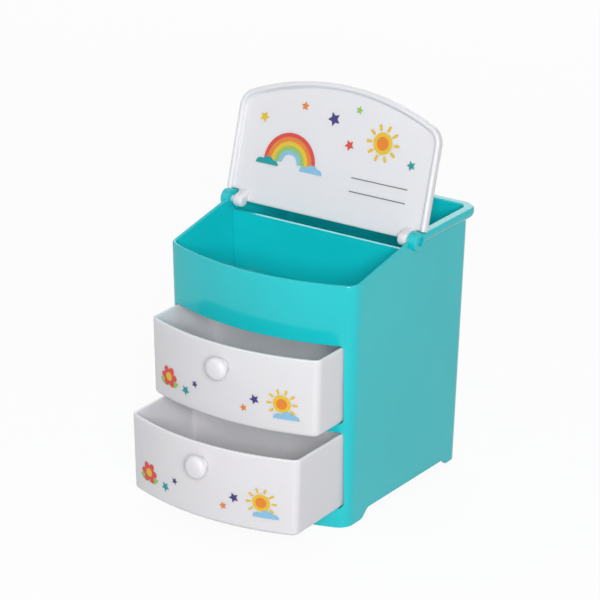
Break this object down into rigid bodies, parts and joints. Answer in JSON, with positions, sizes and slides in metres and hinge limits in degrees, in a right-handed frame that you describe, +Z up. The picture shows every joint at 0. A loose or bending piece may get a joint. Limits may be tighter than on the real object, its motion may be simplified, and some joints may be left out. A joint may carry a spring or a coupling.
{
  "type": "pen holder",
  "caption": "Desk organizer with a bowed front: stacked drawers with knobs, a front bin under a flip lid and a tall open pen bin behind it.",
  "frame": {"origin": "on the surface it stands on, under the middle of the whole object as it stands in the rest pose", "axes": "+Z up, the drawers and the bowed front face -Y, +X to the right as seen from the front"},
  "size_m": [0.1386, 0.1926, 0.2324],
  "materials": {
    "turquoise_plastic": "semi-gloss moulded",
    "white_plastic": "semi-gloss moulded"
  },
  "bodies": {
    "case": {"case_shell": "turquoise_plastic", "base_plate": "turquoise_plastic", "middle_shelf": "turquoise_plastic", "bin_floor": "turquoise_plastic", "bin_partition": "turquoise_plastic"},
    "upper_drawer": {"upper_drawer": "white_plastic", "upper_knob": "white_plastic"},
    "lower_drawer": {"lower_drawer": "white_plastic", "lower_knob": "white_plastic"},
    "lid": {"lid": "white_plastic"}
  },
  "joints": [
    {"name": "upper_drawer_slide", "type": "slide", "parent": "case", "child": "upper_drawer", "axis": [0, -1, 0], "range_m": [-0.0235, 0.02346]},
    {"name": "lower_drawer_slide", "type": "slide", "parent": "case", "child": "lower_drawer", "axis": [0, -1, 0], "range_m": [-0.0439, 0.00263]},
    {"name": "lid_hinge", "type": "hinge", "parent": "case", "child": "lid", "pos_m": [0, 0.031, 0.15748], "axis": [1, 0, 0], "range_deg": [0, 115.6]}
  ]
}
